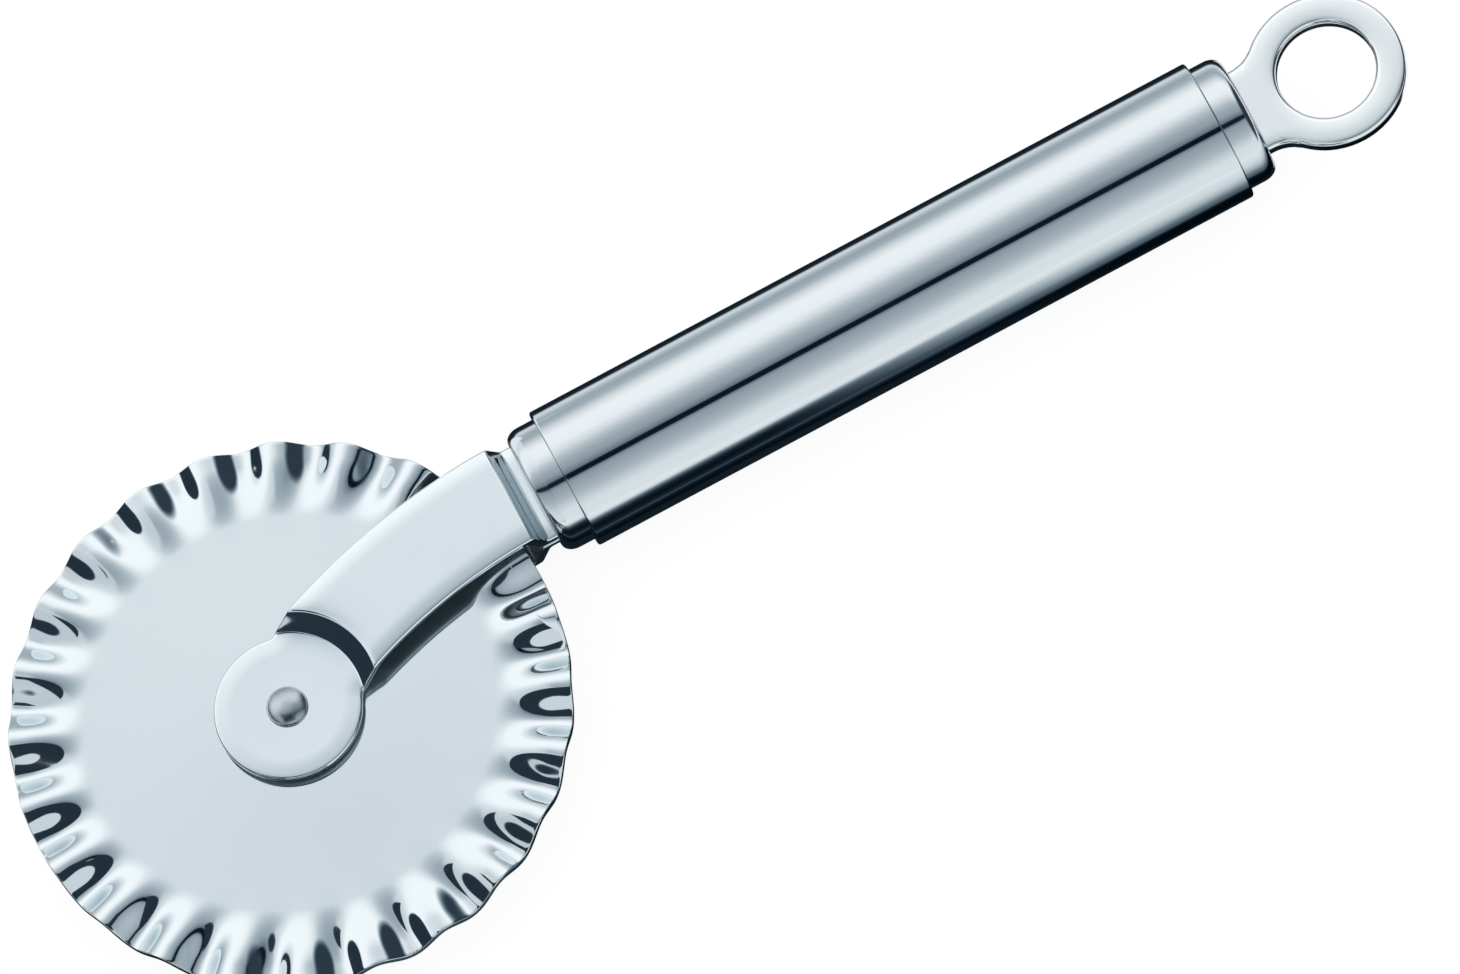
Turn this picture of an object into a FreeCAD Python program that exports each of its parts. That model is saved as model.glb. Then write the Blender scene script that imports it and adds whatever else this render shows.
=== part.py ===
import FreeCAD, Part
import math
import os
import re

import Sketcher

# Fluted pastry wheel, all in stainless steel. Lengths are in millimetres, angles in degrees.
# +X runs along the handle from the wheel to the hanging ring. +Z is the axis that the wheel spins on.
# The tool lies flat, with its origin at the bottom centre of its bounding box.

wheelSizes = {
    "wheelRadius": 35.0,
    "wheelSheet": 1.0,
    "fluteCount": 24,
    "fluteDepth": 1.0,  # half the height of the wave at the rim
    "fluteLength": 9.5,  # from the rim inwards to where the flutes fade out
    "fluteRunIn": 7.5,  # the stretch over which a flute deepens
    "crestAngle": 6.6,  # where one crest points, from the handle side
    "boreClearance": 0.08,  # wheel on bush, all round
    "wheelPlay": 0.1,  # wheel between the washers, end to end
}

axleSizes = {
    "bushRadius": 3.0,
    "washerRadius": 5.0,
    "washerSheet": 0.35,
    "rivetRadius": 2.0,
    "rivetClearance": 0.03,
    "rivetHeadRadius": 2.6,
    "rivetHeadHeight": 1.1,
    "rivetHeadRim": 0.3,
}

forkSizes = {
    "armSheet": 1.4,
    "fluteClearance": 1.7,  # from the crests of the flutes to the inner face of an arm
    "hubRadius": 9.25,
    "hubBendMargin": 0.15,  # flat sheet between the hub's edge and its bend
    "hubBendAngle": 62.0,
    "hubCornerRadius": 1.6,
    "neckBendAngle": 70.0,
    "neckFlat": 1.0,  # flat sheet between the neck's bend and the cap
    "bendRadius": 0.6,  # inside radius of every bend
    "armTopShare": 0.86,  # where the arm's edges start inside the hub, as shares of its radius:
    "armBottomShare": 0.39,  # one straight above the axle, one below it
    "armForwardShare": 0.75,  # and this far towards the handle
    "tangMargin": 1.575,  # from the tang's edge to the rim of the cap
    "tangDepth": 11.0,
    "wheelOffset": 10.16,  # from the handle's axis to the wheel's axle
    "rimToCap": 4.1,  # from the wheel's rim to the face of the front cap
}

handleSizes = {
    "tubeRadius": 9.225,
    "tubeWall": 0.9,
    "tubeLength": 91.3,
    "tubeEndRadius": 0.35,
    "capClearance": 0.05,
    "capReveal": 4.0,
    "capEndWall": 3.7,  # solid metal behind the slot, around which the seal lies
    "capEndRadius": 1.4,
    "slotClearance": 0.05,
    "slotEndGap": 0.3,
    "sealSection": 1.5,
    "sealClearance": 0.03,
    "pinRadius": 1.25,
    "pinClearance": 0.03,
    "pinInset": 8.0,  # from the cap's face to its pins
    "tangPinSpread": 3.5,  # from the handle's axis to each tang pin
}

ringSizes = {
    "ringRadius": 10.0,
    "ringHoleRadius": 6.2,
    "ringSheet": 2.4,
    "ringReach": 11.0,  # from the rear cap's face to the middle of the hole
    "ringTangMargin": 2.475,  # from the tang's edge to the rim of the cap
    "ringTangDepth": 11.0,
    "ringNeckRadius": 5.0,
    "ringEdgeRadius": 0.5,
}

doc = FreeCAD.newDocument("PastryWheel")
sheet = doc.addObject("Spreadsheet::Sheet", "Sizes")
allSizes = {**wheelSizes, **axleSizes, **forkSizes, **handleSizes, **ringSizes}
for row, (alias, size) in enumerate(allSizes.items(), 1):
    sheet.set(f"A{row}", alias)
    sheet.set(f"B{row}", str(size))
    sheet.setAlias(f"B{row}", alias)
doc.recompute()
aliasPattern = re.compile(r"\b(" + "|".join(allSizes) + r")\b")

# Sizes that follow from the named ones.
hubGap = "(wheelSheet / 2 + wheelPlay / 2 + washerSheet)"
hubFace = f"({hubGap} + armSheet)"
armGap = "(fluteDepth + wheelSheet / 2 + fluteClearance)"
armFace = f"({armGap} + armSheet)"
neckReach = "(wheelRadius + rimToCap)"
boreRadius = "(tubeRadius - tubeWall)"
capRadius = f"({boreRadius} - capClearance)"
tangWidth = f"(2 * ({capRadius} - tangMargin))"
ringTangWidth = f"(2 * ({capRadius} - ringTangMargin))"
overrun = "armSheet"
ceiling = f"({armFace} + 2 * {overrun})"


def cells(text):
    """The text with each size written as its cell in the sheet."""
    return aliasPattern.sub(r"Sizes.\1", text)


def bind(item, prop, text):
    item.setExpression(prop, cells(text))


def number(text):
    return float(sheet.evalExpression(cells(text)))


def originPlane(body, role):
    return next(item for item in body.Origin.OriginFeatures if item.Role == role)


def makeBody(label):
    body = doc.addObject("PartDesign::Body", label)
    body.Label = label
    return body


def makeSketch(body, name, role):
    sketch = body.newObject("Sketcher::SketchObject", name)
    sketch.AttachmentSupport = (originPlane(body, role), [""])
    sketch.MapMode = "FlatFace"
    return sketch


def fixPoint(sketch, geometry, end, across, up):
    """Ties one end of a line or arc, or a circle's centre, to its two coordinates."""
    for kind, axis, text in (("DistanceX", -2, across), ("DistanceY", -1, up)):
        if text == "0":
            sketch.addConstraint(Sketcher.Constraint("PointOnObject", geometry, end, axis))
            continue
        index = sketch.addConstraint(Sketcher.Constraint(kind, -1, 1, geometry, end, number(text)))
        bind(sketch, f"Constraints[{index}]", text)


def fixRadius(sketch, geometry, text):
    index = sketch.addConstraint(Sketcher.Constraint("Radius", geometry, number(text)))
    bind(sketch, f"Constraints[{index}]", text)


def arcBetween(start, end, radius, turn):
    """A short arc from start to end. It turns left for +1 and right for -1."""
    chord = end - start
    left = FreeCAD.Vector(-chord.y, chord.x, 0).normalize()
    rise = math.sqrt(radius**2 - (chord.Length / 2) ** 2)
    centre = (start + end) / 2 + left * rise * turn
    first, last = (start, end) if turn > 0 else (end, start)
    angles = [math.atan2(point.y - centre.y, point.x - centre.x) for point in (first, last)]
    circle = Part.Circle(centre, FreeCAD.Vector(0, 0, 1), radius)
    return Part.ArcOfCircle(circle, *angles)


def closedProfile(body, name, role, corners, arcs={}):
    """A closed outline through corners, each a pair of sizes. arcs gives the radius and
    the turn of each side that isn't straight, by the number of the corner it starts at."""
    sketch = makeSketch(body, name, role)
    places = [FreeCAD.Vector(number(across), number(up), 0) for across, up in corners]
    ends = []
    for index, start in enumerate(places):
        end = places[(index + 1) % len(places)]
        if index in arcs:
            radius, turn = arcs[index]
            geometry = sketch.addGeometry(arcBetween(start, end, number(radius), turn))
            ends.append((geometry, 1, 2) if turn > 0 else (geometry, 2, 1))
        else:
            geometry = sketch.addGeometry(Part.LineSegment(start, end))
            ends.append((geometry, 1, 2))
    for index, (geometry, first, last) in enumerate(ends):
        following = ends[(index + 1) % len(ends)]
        sketch.addConstraint(Sketcher.Constraint("Coincident", geometry, last, *following[:2]))
        fixPoint(sketch, geometry, first, *corners[index])
        if index in arcs:
            fixRadius(sketch, geometry, arcs[index][0])
    return sketch


def circleSketch(body, name, role, circles):
    """Circles, each given by its centre's two coordinates and its radius."""
    sketch = makeSketch(body, name, role)
    normal = FreeCAD.Vector(0, 0, 1)
    for across, up, radius in circles:
        centre = FreeCAD.Vector(number(across), number(up), 0)
        geometry = sketch.addGeometry(Part.Circle(centre, normal, number(radius)))
        fixPoint(sketch, geometry, 3, across, up)
        fixRadius(sketch, geometry, radius)
    return sketch


def bothSides(feature, length):
    feature.SideType = "Symmetric"
    bind(feature, "Length", length)


def addPad(body, name, sketch, length):
    """A plate of the given thickness, half of it on each side of the sketch."""
    pad = body.newObject("PartDesign::Pad", name)
    pad.Profile = sketch
    bothSides(pad, length)
    return pad


def addCut(body, name, sketch, length):
    """A cut of the given length, half of it on each side of the sketch."""
    pocket = body.newObject("PartDesign::Pocket", name)
    pocket.Profile = sketch
    bothSides(pocket, length)
    return pocket


def addTurned(body, name, sketch, axis, kind="Revolution"):
    turned = body.newObject(f"PartDesign::{kind}", name)
    turned.Profile = sketch
    turned.ReferenceAxis = (sketch, [axis])
    turned.Angle = 360
    return turned


def addFillet(body, name, radius, chosen):
    """Rounds the edges of the body so far that the function chosen picks."""
    doc.recompute()
    base = body.Tip
    names = [f"Edge{i}" for i, edge in enumerate(base.Shape.Edges, 1) if chosen(edge)]
    fillet = body.newObject("PartDesign::Fillet", name)
    fillet.Base = (base, names)
    bind(fillet, "Radius", radius)
    return fillet


def place(item, x, y, z):
    for axis, text in zip("xyz", (x, y, z)):
        bind(item, f".Placement.Base.{axis}", text)


# The places of the pieces, from the middle of the bounding box.
overall = f"(wheelRadius + {neckReach} + 2 * capReveal + tubeLength + ringReach + ringRadius)"
axleX = f"(wheelRadius - {overall} / 2)"
frontFaceX = f"({axleX} + {neckReach})"
tubeX = f"({frontFaceX} + capReveal)"
rearFaceX = f"({tubeX} + tubeLength + capReveal)"


def atAxle(item):
    place(item, axleX, "0", "tubeRadius")


def onHandle(item, x):
    place(item, x, "wheelOffset", "tubeRadius")


# Wheel: a flat sheet disc whose rim is pressed into round flutes.


def fluteHeight(radius, angle):
    """Height of the sheet's middle, and its slopes outwards and around."""
    start = number("wheelRadius - fluteLength")
    count = number("fluteCount")
    depth = number("fluteDepth")
    run = number("fluteRunIn")
    along = min((radius - start) / run, 1)
    share = along * along * (3 - 2 * along)
    growth = 6 * along * (1 - along) / run
    wave = math.cos(count * angle)
    around = -depth * share * count * math.sin(count * angle) / radius
    return depth * share * wave, depth * growth * wave, around


def makeWheel():
    outer = number("wheelRadius")
    start = number("wheelRadius - fluteLength")
    half = number("wheelSheet / 2")
    count = int(number("fluteCount"))
    pitch = 2 * math.pi / count
    rows = 8
    columns = 9
    surfaces = []
    for side in (1, -1):
        grid = []
        for i in range(rows):
            radius = start + (outer - start) * i / (rows - 1)
            line = []
            for j in range(columns):
                angle = pitch * (j / (columns - 1) - 1 / 2)
                height, outward, around = fluteHeight(radius, angle)
                offset = half * math.sqrt(1 + outward**2 + around**2)
                x = radius * math.cos(angle)
                y = radius * math.sin(angle)
                line.append(FreeCAD.Vector(x, y, height + side * offset))
            grid.append(line)
        surface = Part.BSplineSurface()
        surface.interpolate(grid)
        surfaces.append(surface)
    upper, lower = surfaces
    first, last, *_ = upper.bounds()

    def edgeAt(surface, share):
        return surface.uIso(share).toShape()

    sector = [upper.toShape(), lower.toShape()]
    sector.append(Part.makeRuledSurface(edgeAt(upper, last), edgeAt(lower, last)))
    faces = []
    rims = {1: [], -1: []}
    axis = FreeCAD.Vector(0, 0, 1)
    centre = FreeCAD.Vector(0, 0, 0)
    for index in range(count):
        turn = number("crestAngle") + 360 / count * index
        for face in sector:
            faces.append(face.copy().rotate(centre, axis, turn))
        for side, surface in ((1, upper), (-1, lower)):
            rims[side].append(edgeAt(surface, first).rotate(centre, axis, turn))
    bore = number("bushRadius + boreClearance")
    for side, edges in rims.items():
        level = FreeCAD.Vector(0, 0, side * half)
        hole = Part.Wire(Part.makeCircle(bore, level, axis))
        outline = Part.Wire(Part.sortEdges(edges)[0])
        faces.append(Part.makeFace([outline, hole], "Part::FaceMakerBullseye"))
    faces.append(Part.makeCylinder(bore, 2 * half, FreeCAD.Vector(0, 0, -half), axis).Faces[0])
    shell = Part.makeCompound(faces)
    shell.sewShape()
    solid = Part.makeSolid(shell.Shells[0])
    if solid.Volume < 0:
        solid.reverse()
    wheel = doc.addObject("Part::Feature", "fluted_wheel")
    wheel.Label = "fluted_wheel"
    wheel.Shape = solid
    atAxle(wheel)
    return wheel


# Axle: a bush holds the two hubs apart, and the wheel turns on it between two thin washers.


def makeRing(label, inner, outer, low, high):
    """A flat ring around the axle between two heights."""
    body = makeBody(label)
    corners = [(inner, low), (outer, low), (outer, high), (inner, high)]
    section = closedProfile(body, label + "_section", "XZ_Plane", corners)
    addTurned(body, label + "_turned", section, "V_Axis")
    atAxle(body)
    return body


shankHole = "(rivetRadius + rivetClearance)"
bushHalf = "((wheelSheet + wheelPlay) / 2)"


def makeRivet():
    body = makeBody("axle_rivet")
    rise = "(rivetHeadHeight - rivetHeadRim)"
    dome = f"((rivetHeadRadius ^ 2 + {rise} ^ 2) / (2 * {rise}))"
    rim = f"({hubFace} + rivetHeadRim)"
    top = f"({hubFace} + rivetHeadHeight)"
    corners = [
        ("0", f"-{top}"),
        ("rivetHeadRadius", f"-{rim}"),
        ("rivetHeadRadius", f"-{hubFace}"),
        ("rivetRadius", f"-{hubFace}"),
        ("rivetRadius", hubFace),
        ("rivetHeadRadius", hubFace),
        ("rivetHeadRadius", rim),
        ("0", top),
    ]
    section = closedProfile(body, "RivetSection", "XZ_Plane", corners, {0: (dome, 1), 6: (dome, 1)})
    addTurned(body, "RivetTurned", section, "V_Axis")
    atAxle(body)
    return body


# Fork: two pressed arms, mirror images of each other. Each has a round hub beside the wheel, steps out
# to clear the flutes, curves up to the handle and steps in again to a flat tang.


def makeUpperArm():
    body = makeBody("upper_fork_arm")
    pair = "(2 * bendRadius + armSheet)"
    outerBend = "(bendRadius + armSheet)"

    def bendRun(rise, angle):
        """How far a step takes to climb the rise with walls at the angle."""
        wall = f"(({rise} - {pair} * (1 - cos({angle}))) / sin({angle}))"
        return f"({pair} * sin({angle}) + {wall} * cos({angle}))"

    hubStart = "(hubRadius + hubBendMargin)"
    hubEnd = f"({hubStart} + {bendRun(f'({armGap} - {hubGap})', 'hubBendAngle')})"
    neckEnd = f"({neckReach} - neckFlat)"
    neckStart = f"({neckEnd} - {bendRun(armGap, 'neckBendAngle')})"
    tangEnd = f"({neckReach} + tangDepth)"
    spliceRadius = f"(({hubEnd} + {neckStart}) / 2)"
    spliceX = f"({hubEnd} + armSheet)"
    floor = f"(-{ceiling})"

    # The plan: two long arcs run into the hub's disc, and both end along the tang's straight edges.
    top = f"(wheelOffset + {tangWidth} / 2)"
    bottom = f"(wheelOffset - {tangWidth} / 2)"
    topRoot = "(armTopShare * hubRadius)"
    bottomRoot = "(-armBottomShare * hubRadius)"
    forward = "(armForwardShare * hubRadius)"

    def edgeRadius(length, drop):
        """The radius of an arc that ends level, after that length and drop."""
        return f"(({length} ^ 2 + {drop} ^ 2) / (2 * {drop}))"

    corners = [
        ("0", topRoot),
        (forward, bottomRoot),
        (neckEnd, bottom),
        (tangEnd, bottom),
        (tangEnd, top),
        (neckEnd, top),
    ]
    lowerRadius = edgeRadius(f"({neckEnd} - {forward})", f"({bottom} - {bottomRoot})")
    upperRadius = edgeRadius(neckEnd, f"({top} - {topRoot})")
    arcs = {1: (lowerRadius, -1), 5: (upperRadius, 1)}
    blank = f"(2 * ({armFace} + {overrun}))"
    addPad(body, "ArmBlank", closedProfile(body, "ArmPlan", "XY_Plane", corners, arcs), blank)
    addPad(body, "HubBlank", circleSketch(body, "HubPlan", "XY_Plane", [("0", "0", "hubRadius")]), blank)

    def onHubEdge(edge):
        upright = isinstance(edge.Curve, Part.Line) and edge.BoundBox.ZLength > number(armFace)
        foot = edge.Vertexes[0].Point
        atHub = abs(math.hypot(foot.x, foot.y) - number("hubRadius")) < number("hubBendMargin")
        return upright and atHub and foot.x > 0

    addFillet(body, "HubCorners", "hubCornerRadius", onHubEdge)

    def stepCuts(name, levels, start, end, angle, near, far, turned):
        """Clears the sheet's outer and inner face along one step, between two heights each."""
        nearInner, farInner = levels
        rising = 1 if turned else -1
        for side, nearLevel, farLevel, limit in (
            ("Outer", f"({nearInner} + armSheet)", f"({farInner} + armSheet)", ceiling),
            ("Inner", nearInner, farInner, floor),
        ):
            inside = (side == "Outer") == turned
            nearBend = "bendRadius" if inside else outerBend
            farBend = outerBend if inside else "bendRadius"
            sign = "+" if turned else "-"
            back = "-" if turned else "+"
            corners = [
                (near, nearLevel),
                (start, nearLevel),
                (f"({start} + {nearBend} * sin({angle}))", f"({nearLevel} {sign} {nearBend} * (1 - cos({angle})))"),
                (f"({end} - {farBend} * sin({angle}))", f"({farLevel} {back} {farBend} * (1 - cos({angle})))"),
                (end, farLevel),
                (far, farLevel),
                (far, limit),
                (near, limit),
            ]
            arcs = {1: (nearBend, rising), 3: (farBend, -rising)}
            section = closedProfile(body, f"{name}{side}Section", "XZ_Plane", corners, arcs)
            if turned:
                addTurned(body, name + side, section, "V_Axis", "Groove")
            else:
                addCut(body, name + side, section, f"4 * (wheelOffset + {tangWidth})")

    stepCuts("HubStep", (hubGap, armGap), hubStart, hubEnd, "hubBendAngle", "0", spliceRadius, True)
    farX = f"({tangEnd} + {overrun})"
    stepCuts("NeckStep", (armGap, "0"), neckStart, neckEnd, "neckBendAngle", spliceX, farX, False)

    pinX = f"({neckReach} + pinInset)"
    pinHole = "(pinRadius + pinClearance)"
    holes = [
        ("0", "0", shankHole),
        (pinX, "(wheelOffset + tangPinSpread)", pinHole),
        (pinX, "(wheelOffset - tangPinSpread)", pinHole),
    ]
    addCut(body, "ArmHoles", circleSketch(body, "ArmHolePlan", "XY_Plane", holes), f"(2 * {ceiling})")
    atAxle(body)
    return body


def makeLowerArm(upper):
    lower = doc.addObject("Part::Mirroring", "lower_fork_arm")
    lower.Label = "lower_fork_arm"
    lower.Source = upper
    lower.Normal = FreeCAD.Vector(0, 0, 1)
    bind(lower, "Base.z", "tubeRadius")
    return lower


# Handle: a tube with a cap pressed into each end. A slot in each cap takes a tang, held by cross pins,
# and a seal in a groove keeps the tube dry inside.


def makeTube():
    body = makeBody("handle_tube")
    corners = [
        ("0", boreRadius),
        ("tubeLength", boreRadius),
        ("tubeLength", "tubeRadius"),
        ("0", "tubeRadius"),
    ]
    section = closedProfile(body, "TubeSection", "XZ_Plane", corners)
    addTurned(body, "TubeTurned", section, "H_Axis")

    def outerEnd(edge):
        flat = edge.BoundBox.XLength < number("tubeEndRadius")
        return flat and edge.BoundBox.YLength > number(f"{boreRadius} + tubeRadius")

    addFillet(body, "TubeEnds", "tubeEndRadius", outerEnd)
    onHandle(body, tubeX)
    return body


def slotEnd(depth):
    return f"({depth} + slotEndGap)"


def sealInset(depth):
    """From a cap's face to the middle of its seal, for a tang of that depth."""
    return f"({slotEnd(depth)} + capEndWall / 2)"


def makeCap(label, width, thickness, depth, pins):
    """A turned cap with a slot for a tang of that width, thickness and depth."""
    body = makeBody(label)
    capLength = f"({slotEnd(depth)} + capEndWall)"
    sealHalf = "(sealSection / 2 + sealClearance)"
    floor = f"({boreRadius} - sealSection - 2 * sealClearance)"
    corners = [
        ("0", "0"),
        (capLength, "0"),
        (capLength, capRadius),
        (f"({sealInset(depth)} + {sealHalf})", capRadius),
        (f"({sealInset(depth)} + {sealHalf})", floor),
        (f"({sealInset(depth)} - {sealHalf})", floor),
        (f"({sealInset(depth)} - {sealHalf})", capRadius),
        ("0", capRadius),
    ]
    section = closedProfile(body, label + "_section", "XZ_Plane", corners)
    addTurned(body, label + "_turned", section, "H_Axis")

    def outerEnd(edge):
        atFace = abs(edge.BoundBox.XMin) + abs(edge.BoundBox.XMax) < number("capEndRadius")
        return atFace and edge.BoundBox.YLength > number(capRadius)

    addFillet(body, label + "_end", "capEndRadius", outerEnd)
    slotHalf = f"({width} / 2 + slotClearance)"
    slotHeight = f"({thickness} + 2 * slotClearance)"
    plan = [
        (f"-{overrun}", f"-{slotHalf}"),
        (slotEnd(depth), f"-{slotHalf}"),
        (slotEnd(depth), slotHalf),
        (f"-{overrun}", slotHalf),
    ]
    addCut(body, label + "_slot", closedProfile(body, label + "_slot_plan", "XY_Plane", plan), slotHeight)
    holes = [("pinInset", spread, "(pinRadius + pinClearance)") for spread in pins]
    addCut(body, label + "_holes", circleSketch(body, label + "_hole_plan", "XY_Plane", holes), "4 * tubeRadius")
    return body


def makePins(label, pins, faceX, direction):
    """Cross pins that stop just short of the cap's surface."""
    bars = []
    for index, spread in enumerate(pins):
        bar = doc.addObject("Part::Cylinder", f"{label}_{index}")
        bind(bar, "Radius", "pinRadius")
        reach = f"(sqrt({capRadius} ^ 2 - (abs({spread}) + pinRadius) ^ 2) - pinClearance)"
        bind(bar, "Height", f"2 * {reach}")
        place(bar, f"({faceX} {direction} pinInset)", f"(wheelOffset + {spread})", f"(tubeRadius - {reach})")
        bars.append(bar)
    if len(bars) == 1:
        group = bars[0]
    else:
        group = doc.addObject("Part::Compound", label)
        group.Links = bars
    group.Label = label
    return group


def makeSeal(label, x):
    seal = doc.addObject("Part::Torus", label)
    seal.Label = label
    bind(seal, "Radius1", f"({boreRadius} - sealClearance - sealSection / 2)")
    bind(seal, "Radius2", "sealSection / 2")
    seal.Placement.Rotation = FreeCAD.Rotation(FreeCAD.Vector(0, 1, 0), 90)
    onHandle(seal, x)
    return seal


# Hanging ring: a flat plate with a round eye, a short neck and a tang.


def makeHangingRing():
    body = makeBody("hanging_ring")
    half = f"({ringTangWidth} / 2)"
    centreGap = "(ringRadius + ringNeckRadius)"
    flankHeight = f"({half} + ringNeckRadius)"
    flankX = f"(ringReach - sqrt({centreGap} ^ 2 - {flankHeight} ^ 2))"
    share = f"(ringRadius / {centreGap})"
    touchX = f"(ringReach - (ringReach - {flankX}) * {share})"
    touchY = f"({flankHeight} * {share})"
    corners = [
        ("-ringTangDepth", f"-{half}"),
        (flankX, f"-{half}"),
        (touchX, f"-{touchY}"),
        (touchX, touchY),
        (flankX, half),
        ("-ringTangDepth", half),
    ]
    arcs = {1: ("ringNeckRadius", -1), 3: ("ringNeckRadius", -1)}
    neck = closedProfile(body, "RingNeckPlan", "XY_Plane", corners, arcs)
    addPad(body, "RingNeck", neck, "ringSheet")
    eye = circleSketch(body, "RingEyePlan", "XY_Plane", [("ringReach", "0", "ringRadius")])
    addPad(body, "RingEye", eye, "ringSheet")
    holes = [("ringReach", "0", "ringHoleRadius"), ("-pinInset", "0", "(pinRadius + pinClearance)")]
    addCut(body, "RingHoles", circleSketch(body, "RingHolePlan", "XY_Plane", holes), "2 * ringSheet")

    def onRim(edge):
        flat = edge.BoundBox.ZLength < number("ringEdgeRadius")
        return flat and edge.BoundBox.XMin > number("-ringEdgeRadius")

    addFillet(body, "RingRims", "ringEdgeRadius", onRim)
    onHandle(body, rearFaceX)
    return body


wheel = makeWheel()
bush = makeRing("axle_bush", shankHole, "bushRadius", f"-{bushHalf}", bushHalf)
upperWasher = makeRing("upper_washer", shankHole, "washerRadius", bushHalf, hubGap)
lowerWasher = makeRing("lower_washer", shankHole, "washerRadius", f"-{hubGap}", f"-{bushHalf}")
rivet = makeRivet()
upperArm = makeUpperArm()
lowerArm = makeLowerArm(upperArm)
tube = makeTube()
tangPinPlaces = ["tangPinSpread", "-tangPinSpread"]
frontCap = makeCap("front_cap", tangWidth, "(2 * armSheet)", "tangDepth", tangPinPlaces)
onHandle(frontCap, frontFaceX)
frontSeal = makeSeal("front_seal_ring", f"({frontFaceX} + {sealInset('tangDepth')})")
tangPins = makePins("tang_pins", tangPinPlaces, frontFaceX, "+")
rearCap = makeCap("rear_cap", ringTangWidth, "ringSheet", "ringTangDepth", ["0"])
rearCap.Placement.Rotation = FreeCAD.Rotation(FreeCAD.Vector(0, 0, 1), 180)
onHandle(rearCap, rearFaceX)
rearSeal = makeSeal("rear_seal_ring", f"({rearFaceX} - {sealInset('ringTangDepth')})")
ringPin = makePins("ring_pin", ["0"], rearFaceX, "-")
ring = makeHangingRing()
doc.recompute()

pieces = [
    wheel,
    bush,
    upperWasher,
    lowerWasher,
    rivet,
    upperArm,
    lowerArm,
    tube,
    frontCap,
    frontSeal,
    tangPins,
    rearCap,
    rearSeal,
    ringPin,
    ring,
]

for item in doc.Objects:
    if "Invalid" in item.State or "Error" in item.State:
        raise RuntimeError(f"{item.Label} did not build: {item.State}")
for piece in pieces:
    if piece.Shape.isNull() or not piece.Shape.isValid():
        raise RuntimeError(f"{piece.Label} has no sound shape")

os.makedirs("parts", exist_ok=True)
for piece in pieces:
    box = piece.Shape.optimalBoundingBox()
    print(
        f"{piece.Label}: {len(piece.Shape.Solids)} solids, {piece.Shape.Volume:.2f} mm3, "
        f"x {box.XMin:.2f}..{box.XMax:.2f}, y {box.YMin:.2f}..{box.YMax:.2f}, z {box.ZMin:.2f}..{box.ZMax:.2f}"
    )
    piece.Shape.exportStep(f"parts/{piece.Label}.step")
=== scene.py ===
import math

import bpy
from mathutils import Matrix, Vector, noise


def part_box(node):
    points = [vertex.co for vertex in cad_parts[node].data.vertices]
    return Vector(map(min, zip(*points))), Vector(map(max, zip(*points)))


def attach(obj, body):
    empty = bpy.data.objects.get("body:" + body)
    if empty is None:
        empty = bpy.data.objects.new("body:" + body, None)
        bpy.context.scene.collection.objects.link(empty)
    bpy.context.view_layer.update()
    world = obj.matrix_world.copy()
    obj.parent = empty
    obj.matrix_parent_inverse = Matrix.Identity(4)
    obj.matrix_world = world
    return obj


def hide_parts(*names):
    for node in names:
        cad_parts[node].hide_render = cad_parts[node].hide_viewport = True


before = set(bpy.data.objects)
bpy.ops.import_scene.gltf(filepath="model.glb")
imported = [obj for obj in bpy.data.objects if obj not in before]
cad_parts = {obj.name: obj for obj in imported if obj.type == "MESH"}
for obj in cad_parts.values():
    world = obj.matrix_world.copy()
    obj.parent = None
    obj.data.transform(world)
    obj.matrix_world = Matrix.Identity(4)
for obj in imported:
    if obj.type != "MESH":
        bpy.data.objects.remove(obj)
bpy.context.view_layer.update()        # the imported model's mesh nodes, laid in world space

scene = bpy.context.scene
mm = 0.001
fullTurn = 2 * math.pi

# Camera, read from the tool's own circles and edges: a long lens well above the tool.
shot = {
    "azimuth": -4.22, "elevation": 69.32, "roll": 24.14,   # degrees
    "distance": 2.8, "aim": (-1.62 * mm, -1.01 * mm, 9.23 * mm),
    "lens": 563.0, "sensor": 36.0,
}

# The studio is a wheel of light round the handle's line. Each band is an angle from straight up, in
# degrees towards the far side, and how bright the studio is there. Minus angles are the near side.
studio = {
    "bands": [(-90, 0.98), (-72, 0.96), (-62, 0.82), (-52, 0.63), (-43, 0.53), (-29, 0.42),
              (-25, 0.25), (-24, 0.01), (-16.5, 0.01), (-15.5, 0.22), (-6, 0.43), (3, 0.51),
              (13, 0.68), (22, 0.93), (32, 1.12), (40, 1.16), (54, 1.16), (66, 0.92), (79, 0.56),
              (90, 0.48)],
    # The same towards the wheel's end, where a wide screen stands in front.
    "screenBands": [(-90, 0.035), (-66, 0.035), (-64, 0.80), (-46, 0.76), (-30, 0.70), (-6, 0.70),
                    (3, 0.74), (13, 0.82), (22, 0.93), (32, 1.12), (40, 1.16), (54, 1.16),
                    (66, 0.92), (79, 0.56), (90, 0.48)],
    "screenStart": 0.14, "screenEnd": 0.34,    # between these leans one list turns into the other
    "coolRed": 1.15, "coolBlue": 0.90,         # powers that turn a grey cool
    "rightStart": 0.66, "rightEnd": 0.84, "rightWing": 0.05,   # dark wing at the handle's end
    "leftLean": (1.0, 0.417, 1.5), "leftEdge": 0.04,           # the plane that cuts off the left wing
    "leftStart": 0.45, "leftEnd": 0.55, "leftWing": 0.035,
    "fill": 0.95,                              # what matt surfaces get from every side
    "bounces": 10,                             # for light that goes to and fro between wheel and fork
}


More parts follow.
